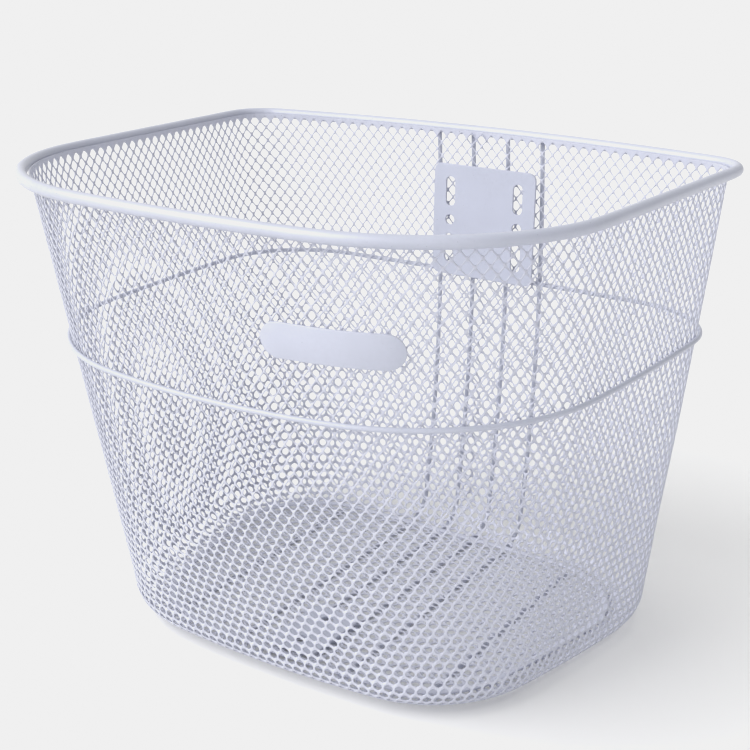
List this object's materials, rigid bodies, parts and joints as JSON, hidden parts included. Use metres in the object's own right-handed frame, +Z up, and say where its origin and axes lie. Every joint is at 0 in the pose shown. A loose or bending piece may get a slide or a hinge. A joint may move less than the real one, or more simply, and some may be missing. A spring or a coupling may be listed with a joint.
{
  "type": "handlebar basket",
  "caption": "Flared mesh bicycle basket with a round tube rim, wire ring and stays, a slotted mounting plate inside the back wall and a small bolt plate on the floor.",
  "frame": {"origin": "centre of the bounding box's underside, on the ground under the basket", "axes": "+Z up, +X along the basket's width, -Y towards the front of the bicycle, +Y towards the handlebar that the back wall hangs on"},
  "size_m": [0.3494, 0.311, 0.272],
  "materials": {
    "rim_paint": "satin",
    "wire_paint": "satin",
    "mesh_paint": "satin",
    "plate_paint": "satin"
  },
  "bodies": {
    "root": {"rim_tube": "rim_paint", "wall_mesh": "mesh_paint", "floor_mesh": "mesh_paint", "ring_wire": "wire_paint", "back_stay_1": "wire_paint", "back_stay_2": "wire_paint", "back_stay_3": "wire_paint", "back_stay_4": "wire_paint", "floor_wire_left": "wire_paint", "floor_wire_right": "wire_paint", "bracket_plate": "plate_paint", "base_plate": "plate_paint", "badge_plate": "plate_paint"}
  },
  "joints": []
}
